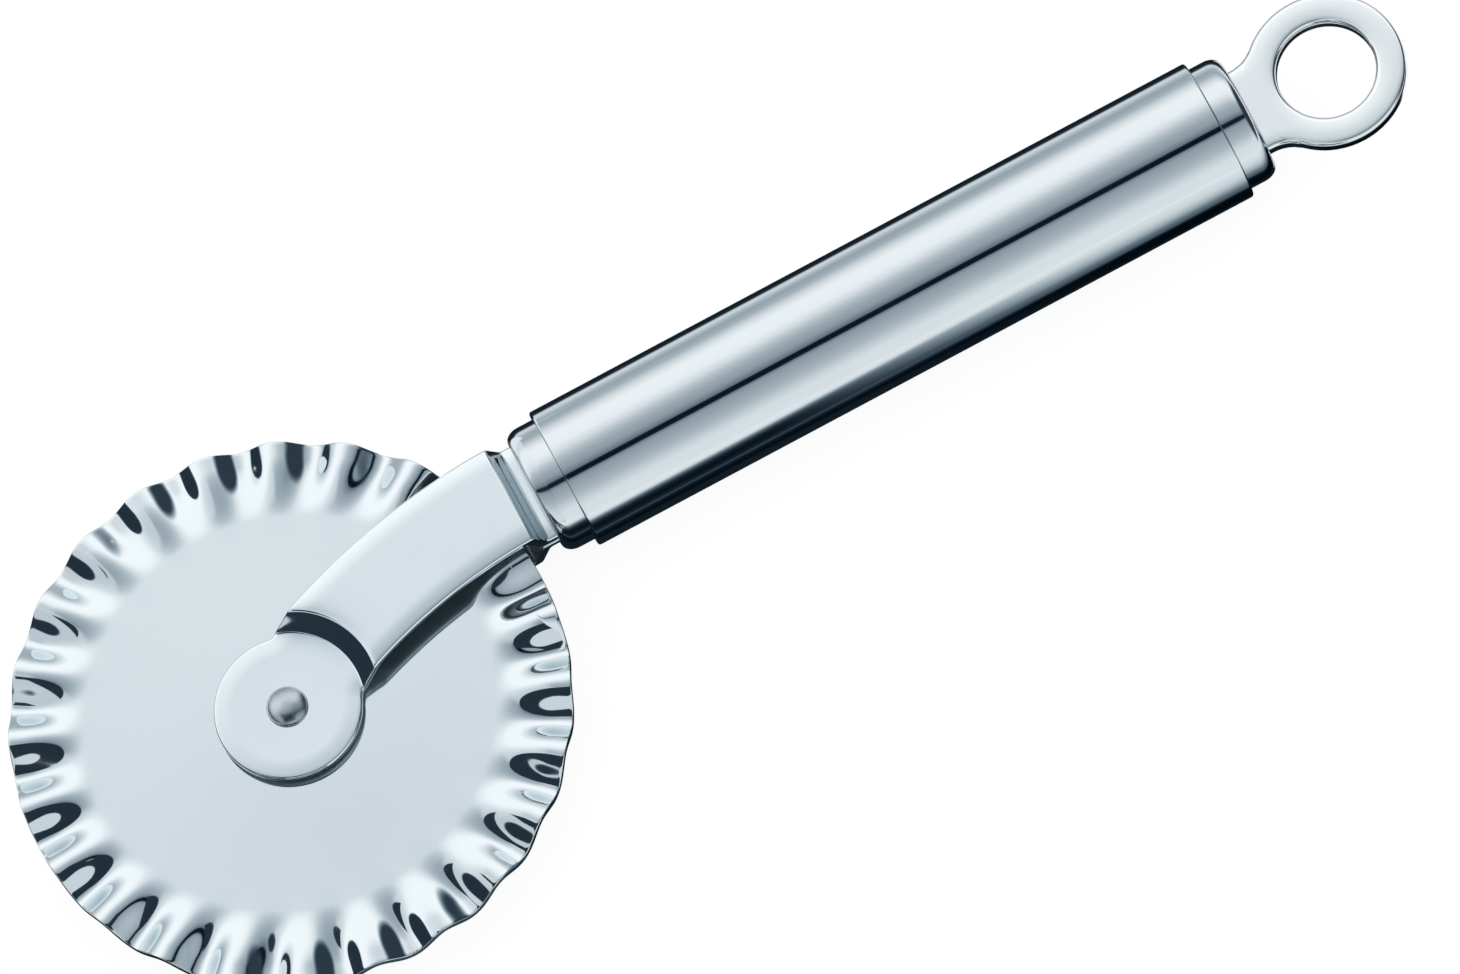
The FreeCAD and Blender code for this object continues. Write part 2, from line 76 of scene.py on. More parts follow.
class Link:                                    # a socket's output, so that shader maths reads as maths
    def __init__(self, sheet, socket):
        self.sheet = sheet
        self.socket = socket

    def math(self, operation, first, second):
        return self.sheet.node("ShaderNodeMath", {"operation": operation}, {0: first, 1: second})

    def __add__(self, other):
        return self.math("ADD", self, other)

    def __sub__(self, other):
        return self.math("SUBTRACT", self, other)

    def __mul__(self, other):
        return self.math("MULTIPLY", self, other)

    def __truediv__(self, other):
        return self.math("DIVIDE", self, other)

    def __pow__(self, other):
        return self.math("POWER", self, other)

    def __radd__(self, other):
        return self.math("ADD", other, self)

    def __rsub__(self, other):
        return self.math("SUBTRACT", other, self)

    def __rmul__(self, other):
        return self.math("MULTIPLY", other, self)

    def atan2(self, other):
        return self.math("ARCTAN2", self, other)

    def ramp(self, low, high):                 # 0 below low, 1 above high, smooth between
        return self.sheet.node("ShaderNodeMapRange", {"interpolation_type": "SMOOTHSTEP"},
                               {"Value": self, "From Min": low, "From Max": high})

    def beside(self, name):                    # another output of the same node
        return Link(self.sheet, self.socket.node.outputs[name])


class Sheet:                                   # the nodes of one material or of the world
    def __init__(self, owner):
        owner.use_nodes = True
        self.tree = owner.node_tree
        self.tree.nodes.clear()

    def node(self, kind, settings=None, inputs=None, output=0):
        made = self.tree.nodes.new(kind)
        for name, value in (settings or {}).items():
            if name == "stops":
                self.setStops(made.color_ramp, value)
            else:
                setattr(made, name, value)
        for name, value in (inputs or {}).items():
            self.feed(made.inputs[name], value)
        return Link(self, made.outputs[output]) if len(made.outputs) else made

    def feed(self, socket, value):
        if isinstance(value, Link):
            self.tree.links.new(value.socket, socket)
        elif socket.type == "RGBA":
            socket.default_value = (*value, 1.0)
        else:
            socket.default_value = value

    def setStops(self, ramp, stops):
        while len(ramp.elements) < len(stops):
            ramp.elements.new(0.5)
        for element, (place, shade) in zip(ramp.elements, stops):
            element.position = place
            element.color = (shade, shade, shade, 1.0)

    def parts(self, vector):
        made = self.node("ShaderNodeSeparateXYZ", {}, {0: vector})
        return [made.beside(name) for name in "XYZ"]

    def join(self, x, y, z):
        return self.node("ShaderNodeCombineXYZ", {}, {0: x, 1: y, 2: z})

    def mixColour(self, factor, first, second):
        return self.node("ShaderNodeMix", {"data_type": "RGBA"}, {0: factor, 6: first, 7: second}, 2)

    def noise(self, vector, scale, detail, roughness):
        return self.node("ShaderNodeTexNoise", {"normalize": True},
                         {"Vector": vector, "Scale": scale, "Detail": detail, "Roughness": roughness})

    def bump(self, height, depth, **more):
        return self.node("ShaderNodeBump", {},
                         {"Strength": 1.0, "Distance": depth, "Height": height, **more})

    def toned(self, place, tones, low, high):  # the level at a place, from a list of (place, level)
        stops = [((spot - low) / (high - low), level) for spot, level in tones]
        share = (place - low) / (high - low)
        return self.parts(self.node("ShaderNodeValToRGB", {"stops": stops}, {0: share}))[0]


def cooled(level):                             # a level of grey as a cool colour
    red, blue = level ** studio["coolRed"], level ** studio["coolBlue"]
    return level.sheet.join(red, level, blue) if isinstance(level, Link) else (red, level, blue)


def makeStudio():
    world = bpy.data.worlds.new("studio")
    scene.world = world
    sheet = Sheet(world)
    x, y, z = sheet.parts(sheet.node("ShaderNodeTexCoord", {}, {}, "Generated"))
    angle = y.atan2(z) * (360 / fullTurn)
    screened = (x * -1).ramp(studio["screenStart"], studio["screenEnd"])
    plain = sheet.toned(angle, studio["bands"], -180, 180)
    level = plain * (1 - screened) + sheet.toned(angle, studio["screenBands"], -180, 180) * screened
    right = x.ramp(studio["rightStart"], studio["rightEnd"])
    lean = studio["leftLean"]
    plane = x * lean[0] + y * lean[1] + z * lean[2]
    left = 1 - plane.ramp(-studio["leftEdge"], studio["leftEdge"])
    left = left * (x * -1).ramp(studio["leftStart"], studio["leftEnd"])
    for mask, tone in ((right, studio["rightWing"]), (left, studio["leftWing"])):
        level = level * (1 - mask) + mask * tone
    seen = sheet.node("ShaderNodeLightPath", {}, {}, "Is Camera Ray")
    colour = sheet.mixColour(seen.beside("Is Diffuse Ray"), cooled(level), (studio["fill"],) * 3)
    colour = sheet.mixColour(seen, colour, (1.0, 1.0, 1.0))
    back = sheet.node("ShaderNodeBackground", {}, {"Color": colour, "Strength": 1.0})
    sheet.node("ShaderNodeOutputWorld", {}, {"Surface": back})
    scene.cycles.glossy_bounces = studio["bounces"]
    print("studio: bands of light and two dark wings")


def placeCamera():
    azimuth, elevation, roll = (math.radians(shot[k]) for k in ("azimuth", "elevation", "roll"))
    back = Vector((math.cos(elevation) * math.sin(azimuth), -math.cos(elevation) * math.cos(azimuth),
                   math.sin(elevation)))
    level = Vector((math.cos(azimuth), math.sin(azimuth), 0.0))
    over = back.cross(level)
    right = math.cos(roll) * level - math.sin(roll) * over
    up = math.sin(roll) * level + math.cos(roll) * over
    data = bpy.data.cameras.new("camera")
    data.lens = shot["lens"]
    data.sensor_width = shot["sensor"]
    camera = bpy.data.objects.new("camera", data)
    scene.collection.objects.link(camera)
    turn = Matrix((right, up, back)).transposed().to_4x4()
    camera.matrix_world = Matrix.Translation(Vector(shot["aim"]) + back * shot["distance"]) @ turn
    scene.camera = camera
    print("camera: in place")


def newMesh(name, points, faces, smooth=True):
    mesh = bpy.data.meshes.new(name)
    mesh.from_pydata(points, [], faces)
    mesh.validate()
    mesh.polygons.foreach_set("use_smooth", [smooth] * len(mesh.polygons))
    made = bpy.data.objects.new(name, mesh)
    scene.collection.objects.link(made)
    return made


floorSizes = {"reach": 6.0, "shade": 0.92, "glow": 1.06, "glowShare": 0.86}


def makeFloor():
    reach = floorSizes["reach"]
    corners = [(-reach, -reach, 0), (reach, -reach, 0), (reach, reach, 0), (-reach, reach, 0)]
    floor = newMesh("floor", corners, [(0, 1, 2, 3)], False)
    material = bpy.data.materials.new("pale floor")
    sheet = Sheet(material)
    plain = sheet.node("ShaderNodeBsdfDiffuse", {}, {"Color": (floorSizes["shade"],) * 3})
    white = {"Color": (1.0, 1.0, 1.0), "Strength": floorSizes["glow"]}
    glow = sheet.node("ShaderNodeEmission", {}, white)
    seen = sheet.node("ShaderNodeLightPath", {}, {}, "Is Camera Ray")
    seen = seen + seen.beside("Is Glossy Ray") + seen.beside("Is Transmission Ray")
    both = sheet.node("ShaderNodeMixShader", {}, {0: seen * floorSizes["glowShare"], 1: plain, 2: glow})
    sheet.node("ShaderNodeOutputMaterial", {}, {"Surface": both})
    floor.data.materials.append(material)
    print("floor: pale and plain")


# Cards that only reflections see, which paint dark and light bands into the metal (painted reflections): a
# toned base under the tool, a screen in front of the wheel and a shade that faces the front cap. Tones are
# pairs of a place and its level.
cards = {
    "baseHeight": 0.05 * mm, "baseRange": (-200, 320),          # from the near side to the far side, in mm
    "basePlaces": [                                             # x and y ranges, in mm
        (-170, 170, -200, 3), (-32, 79, 3, 5900), (79, 130, 28, 150), (79, 500, 150, 5900),
        (81, 93, 11, 17.5)],
    "frontTones": [(-200, 1.0), (-100, 0.98), (-76, 0.75), (-58, 0.35), (-45, 0.12), (-32, 0.02),
                   (-20, 0.006), (-13, 0.02), (-11.5, 0.09), (-10, 0.02), (-8, 0.01), (-5, 0.004),
                   (-3, 0.015), (34, 0.015), (44, 0.03), (50, 0.6), (57, 0.9), (84, 0.70),
                   (130, 0.58), (320, 0.48)],
    "rearTones": [(-200, 1.0), (-60, 0.92), (-34, 0.82), (-20.5, 0.56), (-13, 0.22), (-9, 0.12),
                  (-7.5, 0.01), (-5, 0.003), (-1, 0.003), (2, 0.015), (34, 0.015), (44, 0.03),
                  (50, 0.6), (57, 0.9), (84, 0.70), (130, 0.58), (320, 0.48)],
    "frontEnd": 5 * mm, "rearStart": 68 * mm,   # between these the front tones turn into the rear ones
    "screenX": (-172 * mm, -40 * mm), "screenDistance": 170 * mm,
    "screenTones": [(18.5, 43.0, 0.035), (43.0, 66.0, 0.80), (66.0, 89.0, 0.035)],   # angles from above
    "screenRise": -5.0,                         # where the first band starts at its far end
    "shadeX": -30 * mm, "shadeY": (-80 * mm, 60 * mm), "shadeZ": (14 * mm, 120 * mm),
    "shadeFade": (50 * mm, 110 * mm),           # it thins out upwards
    "shadeLean": 0.4, "shadeShift": -14.4 * mm, "shadeRoot": 11 * mm,   # its tones fan out upwards
    "shadeTones": [(-2.5, 0.90), (-1.4, 0.79), (-0.8, 0.60), (-0.45, 0.50), (-0.2, 0.42), (-0.09, 0.30),
                   (-0.06, 0.02), (0.06, 0.02), (0.1, 0.25), (0.25, 0.42), (0.37, 0.50), (0.55, 0.68),
                   (0.72, 0.93), (1.0, 1.1), (1.6, 1.16), (2.1, 1.05), (2.5, 0.9)],
}


def flatCard(name, quads):                      # each quad is its four corners
    points = [corner for quad in quads for corner in quad]
    faces = [tuple(range(i, i + 4)) for i in range(0, len(points), 4)]
    return newMesh(name, points, faces, False)


def glowMaterial(name, paint, fade=None):       # paint is a level, or makes one from a sheet
    material = bpy.data.materials.new(name)
    sheet = Sheet(material)
    level = paint(sheet) if callable(paint) else paint
    glow = sheet.node("ShaderNodeEmission", {}, {"Color": cooled(level), "Strength": 1.0})
    if fade:                                    # seen from one side only, and thinner upwards
        back = sheet.node("ShaderNodeNewGeometry", {}, {}, "Backfacing")
        height = sheet.parts(back.beside("Position"))[2]
        clear = sheet.node("ShaderNodeBsdfTransparent")
        gone = 1 - (1 - back) * (1 - height.ramp(*fade))
        glow = sheet.node("ShaderNodeMixShader", {}, {0: gone, 1: glow, 2: clear})
    sheet.node("ShaderNodeOutputMaterial", {}, {"Surface": glow})
    return material


def makeBase():
    quads = []
    for x0, x1, y0, y1 in cards["basePlaces"]:
        corners = (x0, y0), (x1, y0), (x1, y1), (x0, y1)
        quads.append([(x * mm, y * mm, cards["baseHeight"]) for x, y in corners])
    base = flatCard("painted_reflection_base", quads)

    # painted reflection: dark under and in front of the tool, lighter further away
    def paint(sheet):
        x, y, z = sheet.parts(sheet.node("ShaderNodeNewGeometry", {}, {}, "Position"))
        front = sheet.toned(y / mm, cards["frontTones"], *cards["baseRange"])
        rear = sheet.toned(y / mm, cards["rearTones"], *cards["baseRange"])
        share = x.ramp(cards["frontEnd"], cards["rearStart"])
        return front * (1 - share) + rear * share

    base.data.materials.append(glowMaterial("base tones", paint))
    return base


def makeScreen():
    low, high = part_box("fluted_wheel")
    centre = (low + high) / 2
    far, near = cards["screenX"]

    def corner(x, angle):
        tilt = math.radians(angle)
        reach = cards["screenDistance"]
        return x, centre.y - reach * math.sin(tilt), centre.z + reach * math.cos(tilt)

    quads = []
    # painted reflection: dark and light bands for the wheel's flutes
    for index, (start, end, tone) in enumerate(cards["screenTones"]):
        outer = start if index else cards["screenRise"]
        quads.append([corner(far, outer), corner(near, start), corner(near, end), corner(far, end)])
    screen = flatCard("painted_reflection_screen", quads)
    for index, (start, end, tone) in enumerate(cards["screenTones"]):
        screen.data.materials.append(glowMaterial("screen tone", tone))
        screen.data.polygons[index].material_index = index
    return screen


def makeShade():
    x, (y0, y1), (z0, z1) = cards["shadeX"], cards["shadeY"], cards["shadeZ"]
    shade = flatCard("painted_reflection_cap_shade", [[(x, y0, z0), (x, y1, z0), (x, y1, z1), (x, y0, z1)]])

    # painted reflection: tones that fan out over the front cap's rounding
    def paint(sheet):
        x, y, z = sheet.parts(sheet.node("ShaderNodeNewGeometry", {}, {}, "Position"))
        fan = (y + z * cards["shadeLean"] + cards["shadeShift"]) / (z - cards["shadeRoot"])
        tones = cards["shadeTones"]
        return sheet.toned(fan, tones, tones[0][0], tones[-1][0])

    shade.data.materials.append(glowMaterial("shade tone", paint, cards["shadeFade"]))
    return shade


def makeCards():
    # seen only in reflections, so they paint reflections and give no light or shadow
    for card in (makeBase(), makeScreen(), makeShade()):
        card.visible_camera = False
        card.visible_diffuse = False
        card.visible_shadow = False
        card.visible_transmission = False
        card.visible_volume_scatter = False
    print("cards: base, front screen and cap shade")


# Every steel has a grain, cloudy wear and a slow wave in its surface.
finish = {
    "wheel": {
        "colour": (0.74, 0.82, 0.86), "wornShare": 0.97, "roughness": 0.06,
        "grain": (900, 900, 900), "grainRoughness": 0.03, "grainDepth": 0.15e-6,
        "cloudScale": 45, "cloudRoughness": 0.03, "waveScale": 22, "waveDepth": 25e-6},
    "fork": {
        "colour": (0.77, 0.85, 0.89), "wornShare": 0.97, "roughness": 0.07,
        "grain": (1100, 1100, 1100), "grainRoughness": 0.04, "grainDepth": 0.2e-6,
        "cloudScale": 90, "cloudRoughness": 0.04, "waveScale": 60, "waveDepth": 15e-6,
        "innerRoughness": 0.35, "innerPaintedShade": 0.5, "innerFade": 0.5 * mm},   # the faces at the wheel: rougher, and their colour darkened as painted shade
    "rivet": {
        "colour": (0.62, 0.70, 0.75), "wornShare": 0.6, "roughness": 0.25,
        "grain": (2600, 2600, 2600), "grainRoughness": 0.16, "grainDepth": 5e-6,
        "cloudScale": 700, "cloudRoughness": 0.10, "waveScale": 420, "waveDepth": 10e-6},
    "axle": {
        "colour": (0.60, 0.63, 0.65), "wornShare": 0.9, "roughness": 0.24,
        "grain": (300, 300, 5000), "grainRoughness": 0.12, "grainDepth": 1e-6,
        "cloudScale": 200, "cloudRoughness": 0.06, "waveScale": 90, "waveDepth": 5e-6},
    "tube": {
        "colour": (0.70, 0.765, 0.80), "wornShare": 0.97, "roughness": 0.055,
        "grain": (90, 3600, 3600), "grainRoughness": 0.07, "grainDepth": 0.3e-6,
        "cloudScale": 90, "cloudRoughness": 0.03, "waveScale": 30, "waveDepth": 12e-6,
        "endRoughness": 0.15, "endPaintedShade": 0.35, "endFacing": (0.3, 0.6)},    # the turned end faces: rougher, and darkened with the end roundings as painted shade
    "cap": {
        "colour": (0.70, 0.765, 0.80), "wornShare": 0.96, "roughness": 0.08,
        "grain": (5200, 120, 120), "grainRoughness": 0.06, "grainDepth": 0.15e-6,
        "cloudScale": 150, "cloudRoughness": 0.03, "waveScale": 70, "waveDepth": 8e-6,
        # painted shade on the cap's end face and the steep part of its rounding
        "endRoughness": 0.2, "endPaintedShade": 0.72, "endFacing": (0.5, 0.78)},
    "ring": {
        "colour": (0.83, 0.88, 0.90), "wornShare": 0.98, "roughness": 0.12,
        "grain": (1300, 1300, 1300), "grainRoughness": 0.05, "grainDepth": 0.3e-6,
        "cloudScale": 120, "cloudRoughness": 0.04, "waveScale": 80, "waveDepth": 15e-6},
    "pin": {
        "colour": (0.58, 0.60, 0.62), "wornShare": 0.9, "roughness": 0.2,
        "grain": (400, 400, 4500), "grainRoughness": 0.1, "grainDepth": 0.6e-6,
        "cloudScale": 300, "cloudRoughness": 0.05, "waveScale": 120, "waveDepth": 4e-6},
}


# darkens a colour: for random wear, and for the painted shade of inner and end faces
def wearAndPaintedShade(colour, share):
    return tuple(c * share for c in colour)


def steel(name, look):
    material = bpy.data.materials.new(name)
    sheet = Sheet(material)
    place = sheet.node("ShaderNodeTexCoord", {}, {}, "Object")
    x, y, z = sheet.parts(place)
    along = sheet.join(x * look["grain"][0], y * look["grain"][1], z * look["grain"][2])
    grain = sheet.noise(along, 1.0, detail=3.0, roughness=0.6)
    cloud = sheet.noise(place, look["cloudScale"], detail=2.0, roughness=0.5)
    wave = sheet.noise(place, look["waveScale"], detail=1.0, roughness=0.4)
    base = look["colour"]
    colour = sheet.mixColour(cloud, wearAndPaintedShade(base, look["wornShare"]), base)
    rough = look["roughness"] + (grain - 0.5) * look["grainRoughness"]     # noise is 0.5 on average
    rough = rough + (cloud - 0.5) * look["cloudRoughness"]
    bump = sheet.bump(grain, look["grainDepth"], Normal=sheet.bump(wave, look["waveDepth"]))
    if "innerRoughness" in look:          # the faces that look at the wheel were never polished, so they are rougher; their colour is darkened as painted shade for the gap between fork and wheel
        middle = sum(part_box("axle_rivet"), Vector()).z / 2
        facing = sheet.parts(place.beside("Normal"))[2]
        inner = (facing * (z - middle) * -1).ramp(0.0, look["innerFade"])
        rough = rough + inner * look["innerRoughness"]
        # painted shade: the inner faces' colour is darkened
        colour = sheet.mixColour(inner, colour, wearAndPaintedShade(base, look["innerPaintedShade"]))
    if "endRoughness" in look:            # turned end faces, left as they came off the lathe, so they are rougher; their colour and the roundings' steep part are darkened as painted shade
        facing = sheet.parts(place.beside("Normal"))[0]
        end = (facing * facing).ramp(*look["endFacing"])
        rough = rough + end * look["endRoughness"]
        # painted shade: a dark band along the end faces and roundings
        colour = sheet.mixColour(end, colour, wearAndPaintedShade(base, look["endPaintedShade"]))
    metal = sheet.node("ShaderNodeBsdfPrincipled", {},
                       {"Base Color": colour, "Metallic": 1.0, "Roughness": rough, "Normal": bump})
    sheet.node("ShaderNodeOutputMaterial", {}, {"Surface": metal})
    return material


rubberLook = {"colour": (0.024, 0.024, 0.026), "dusty": (0.07, 0.07, 0.072), "dustRange": (0.5, 0.8),
              "roughness": 0.62, "dustScale": 260, "dustRoughness": 0.2, "skinScale": 2600,
              "skinDepth": 6e-6}


def rubber(name, look):
    material = bpy.data.materials.new(name)
    sheet = Sheet(material)
    place = sheet.node("ShaderNodeTexCoord", {}, {}, "Object")
    dust = sheet.noise(place, look["dustScale"], detail=4.0, roughness=0.6)
    skin = sheet.noise(place, look["skinScale"], detail=2.0, roughness=0.5)
    colour = sheet.mixColour(dust.ramp(*look["dustRange"]), look["colour"], look["dusty"])
    rough = look["roughness"] + dust * look["dustRoughness"]
    surface = sheet.node("ShaderNodeBsdfPrincipled", {},
                         {"Base Color": colour, "Roughness": rough,
                          "Normal": sheet.bump(skin, look["skinDepth"])})
    sheet.node("ShaderNodeOutputMaterial", {}, {"Surface": surface})
    return material


wheelSizes = {
    "radius": 34.999 * mm, "sheet": 1.0 * mm, "flutes": 24, "depth": 1.0 * mm, "start": 25.5 * mm,
    "runIn": 7.5 * mm, "crest": 6.6, "bore": 3.08 * mm, "rimEdge": 0.14 * mm,
    "anglesPerFlute": 36, "fluteRings": 30, "edgeSteps": 4,
    "flatStep": 2.2 * mm,
    "dishSlope": 0.012, "dishRadius": 33 * mm,    # pressing leaves the disc a shade domed
}


def wheelHeight(radius, angle):                   # height of the sheet's middle, and half its thickness
    share = min(max((radius - wheelSizes["start"]) / wheelSizes["runIn"], 0.0), 1.0)
    rise = share * share * (3 - 2 * share)
    slopeShare = 6 * share * (1 - share) / wheelSizes["runIn"]
    phase = wheelSizes["flutes"] * (angle - math.radians(wheelSizes["crest"]))
    depth = wheelSizes["depth"]
    outward = depth * slopeShare * math.cos(phase)
    around = -depth * rise * wheelSizes["flutes"] * math.sin(phase) / radius
    half = wheelSizes["sheet"] / 2 * math.sqrt(1 + outward * outward + around * around)
    reach = min(radius / wheelSizes["dishRadius"], 1.0) * math.pi
    dish = wheelSizes["dishSlope"] * wheelSizes["dishRadius"] / math.pi * (1 - math.cos(reach))
    return depth * rise * math.cos(phase) - dish, half


def makeWheel():
    low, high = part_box("fluted_wheel")
    centre = (low + high) / 2
    radius, edge = wheelSizes["radius"], wheelSizes["rimEdge"]
    flats = int((wheelSizes["start"] - wheelSizes["bore"]) / wheelSizes["flatStep"])
    rings = [wheelSizes["bore"] + wheelSizes["flatStep"] * i for i in range(flats)]
    count = wheelSizes["fluteRings"]
    for i in range(count + 1):
        rings.append(wheelSizes["start"] + (radius - edge - wheelSizes["start"]) * i / count)
    steps = wheelSizes["edgeSteps"]
    profile = [(r, 1, 0.0) for r in rings]
    for i in range(1, steps + 1):
        turn = math.pi / 2 * i / steps
        profile.append((radius - edge + edge * math.sin(turn), 1, edge * (1 - math.cos(turn))))
    profile += [(r, -1, drop) for r, side, drop in reversed(profile)]
    angles = wheelSizes["flutes"] * wheelSizes["anglesPerFlute"]
    points, faces = [], []
    for a in range(angles):
        angle = fullTurn * a / angles
        for r, side, drop in profile:
            middle, half = wheelHeight(r, angle)
            z = centre.z + middle + side * (half - drop)
            points.append((centre.x + r * math.cos(angle), centre.y + r * math.sin(angle), z))
    size = len(profile)
    for a in range(angles):
        here, there = a * size, (a + 1) % angles * size
        for k in range(size):
            after = (k + 1) % size
            faces.append((here + k, here + after, there + after, there + k))
    wheel = newMesh("pressed_wheel", points, faces)
    wheel.data.materials.append(steel("wheel steel", finish["wheel"]))
    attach(wheel, "wheel")
    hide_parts("fluted_wheel")
    print("wheel: pressed and fluted")


# A sheet with a round eye and a strip that leaves it along +X. Both arms of the fork and the hanging
# ring are such sheets. Their edges are rolled: a round corner, and a face that falls gently towards it.
farAway = 1.0                                   # a gap, in metres, to what isn't near at all
fineShare = 0.45                                # the most of a line that fine steps take at one end


def crossAngle(radius, centre, edgeRadius):     # where a circle round the eye meets an edge's circle
    gap = math.hypot(*centre)
    turn = math.acos((radius ** 2 + gap ** 2 - edgeRadius ** 2) / (2 * radius * gap))
    return math.atan2(centre[1], centre[0]) + math.copysign(turn, -centre[1])


class Edge:                                     # one long side of the strip, with its corner at the eye
    def __init__(self, plate, side):
        self.side = side
        self.eye, self.corner = plate["eye"], plate["corner"]
        self.centre, self.radius, inside = plate["high" if side > 0 else "low"]
        reach = self.radius + self.corner * inside
        far = self.eye + self.corner
        self.start = crossAngle(far, self.centre, reach)
        self.turn = (far * math.cos(self.start), far * math.sin(self.start))
        share = self.radius / reach
        self.touch = tuple(c + (t - c) * share for c, t in zip(self.centre, self.turn))
        self.touchRadius = math.hypot(*self.touch)

    def angleAt(self, radius):
        if radius > self.touchRadius:
            return crossAngle(radius, self.centre, self.radius)
        far = self.eye + self.corner
        cosine = (radius ** 2 + far ** 2 - self.corner ** 2) / (2 * radius * far)
        return self.start - self.side * math.acos(min(cosine, 1.0))

    def heightAt(self, x):
        run = min(x - self.centre[0], 0.0)
        return self.centre[1] - math.copysign(math.sqrt(self.radius ** 2 - run ** 2), self.centre[1])

    def gap(self, x, y):                        # how far a point of the sheet is from this side
        if x > self.centre[0]:
            return abs(y - self.heightAt(x))
        away = math.hypot(x - self.centre[0], y - self.centre[1])
        footX = self.centre[0] + (x - self.centre[0]) * self.radius / away
        if footX >= self.touch[0]:
            return abs(away - self.radius)
        a = (-self.turn[0], -self.turn[1])
        b = (self.touch[0] - self.turn[0], self.touch[1] - self.turn[1])
        p = (x - self.turn[0], y - self.turn[1])
        if (a[0] * p[1] - a[1] * p[0]) * self.side >= 0 >= (b[0] * p[1] - b[1] * p[0]) * self.side:
            return abs(math.hypot(*p) - self.corner)
        return farAway


def sideSteps(plate):                           # gaps to an edge at which the sheet has points
    count = plate["cornerSteps"]
    steps = [plate["round"] * (1 - math.cos(math.pi / 2 * i / count)) for i in range(count + 1)]
    rest = plate["roll"] - plate["round"]
    return steps + [plate["round"] + rest * (i + 1) / plate["rollSteps"] for i in range(plate["rollSteps"])]


def spread(plate, length):                      # shares along a line with fine steps near both ends
    steps = sideSteps(plate)
    scale = min(1.0, length * fineShare / steps[-1])
    near = [s * scale / length for s in steps]
    middle = [near[-1] + (1 - 2 * near[-1]) * (i + 1) / plate["middle"] for i in range(plate["middle"] - 1)]
    return near + middle + [1 - s for s in reversed(near)]


def fallAt(plate, gap):                         # how far a face has fallen, near an edge
    fall = 0.0
    if gap < plate["roll"]:
        fall += plate["slope"] * (plate["roll"] - gap) ** 2 / (2 * plate["roll"])
    if gap < plate["round"]:
        fall += plate["round"] - math.sqrt(max(plate["round"] ** 2 - (plate["round"] - gap) ** 2, 0.0))
    return fall


def rolledSheet(name, plate, place, flip, turn):   # flip -1 is upside down, turn -1 is half round
    low, high = Edge(plate, -1), Edge(plate, 1)
    eye, hole, last = plate["eye"], plate["hole"], plate["lastCircle"]
    flat = []                                   # points of the plan, with their gaps to the outline
    quads = []

    def addPoint(x, y, gap=None):
        if gap is None:
            radius, angle = math.hypot(x, y), math.atan2(y, x)
            gap = min(low.gap(x, y), high.gap(x, y))
            if not low.start < angle < high.start:
                gap = min(gap, eye - radius)
        if plate["openHole"]:
            gap = min(gap, max(math.hypot(x, y) - hole, 0.0))
        flat.append((x, y, max(gap, 0.0)))
        return len(flat) - 1

    def addGrid(rows, closed):
        for near, far in zip(rows, rows[1:]):
            count = len(near)
            for j in range(count if closed else count - 1):
                after = (j + 1) % count
                quads.append((near[j], far[j], far[after], near[after]))

    arc = (high.start - low.start) * eye
    held = [low.start + (high.start - low.start) * s for s in spread(plate, arc)]
    free = [high.start + (low.start + fullTurn - high.start) * (i + 1) / plate["around"]
            for i in range(plate["around"] - 1)]
    rings = []
    for share in spread(plate, eye - hole):
        radius = hole + (eye - hole) * share
        ring = []
        for k, angle in enumerate(held + free):
            onRim = share == 1 and not 0 < k < len(held) - 1
            x, y = radius * math.cos(angle), radius * math.sin(angle)
            ring.append(addPoint(x, y, 0.0 if onRim else None))
        rings.append(ring)
    addGrid(rings, True)

    def circleRow(radius):                      # across the strip, on a circle round the eye
        start, end = low.angleAt(radius), high.angleAt(radius)
        angles = [start + (end - start) * s for s in spread(plate, (end - start) * radius)]
        return [(radius * math.cos(a), radius * math.sin(a)) for a in angles]

    def straightRow(x, blend):                  # from the last circle to a straight line across
        points = circleRow(last)
        lowX = points[0][0] + (x - points[0][0]) * blend
        highX = points[-1][0] + (x - points[-1][0]) * blend
        ends = (lowX, low.heightAt(lowX)), (highX, high.heightAt(highX))
        made = []
        for share, point in zip(spread(plate, ends[1][1] - ends[0][1]), points):
            spot = []
            for axis in (0, 1):
                chord = points[0][axis] + (points[-1][axis] - points[0][axis]) * share
                line = ends[0][axis] + (ends[1][axis] - ends[0][axis]) * share
                spot.append(line + (point[axis] - chord) * (1 - blend))
            made.append(tuple(spot))
        return made

    rows = [rings[-1][:len(held)]]
    lines = []
    for i in range(plate["circles"]):
        lines.append(circleRow(eye + (last - eye) * (i + 1) / plate["circles"]))
    for i in range(plate["blends"]):
        lines.append(straightRow(plate["firstLine"], (i + 1) / plate["blends"]))
    for x in plate["lines"]:
        lines.append(straightRow(x, 1.0))
    for line in lines:
        edge = len(line) - 1
        rows.append([addPoint(x, y, None if 0 < k < edge else 0.0) for k, (x, y) in enumerate(line)])
    addGrid(rows, False)

    points = []
    for level in (0, 1):
        for x, y, gap in flat:
            z = plate["levels"](x, y)[level] + (2 * level - 1) * fallAt(plate, gap)
            points.append((place[0] + turn * x, place[1] + turn * y, place[2] + flip * z))
    shift = len(flat)
    sides = {(q[k], q[(k + 1) % 4]) for q in quads for k in range(4)}
    faces = quads + [tuple(i + shift for i in reversed(q)) for q in quads]
    faces += [(a, a + shift, b + shift, b) for a, b in sorted(sides) if (b, a) not in sides]
    if flip < 0:
        faces = [tuple(reversed(f)) for f in faces]
    return newMesh(name, points, faces)


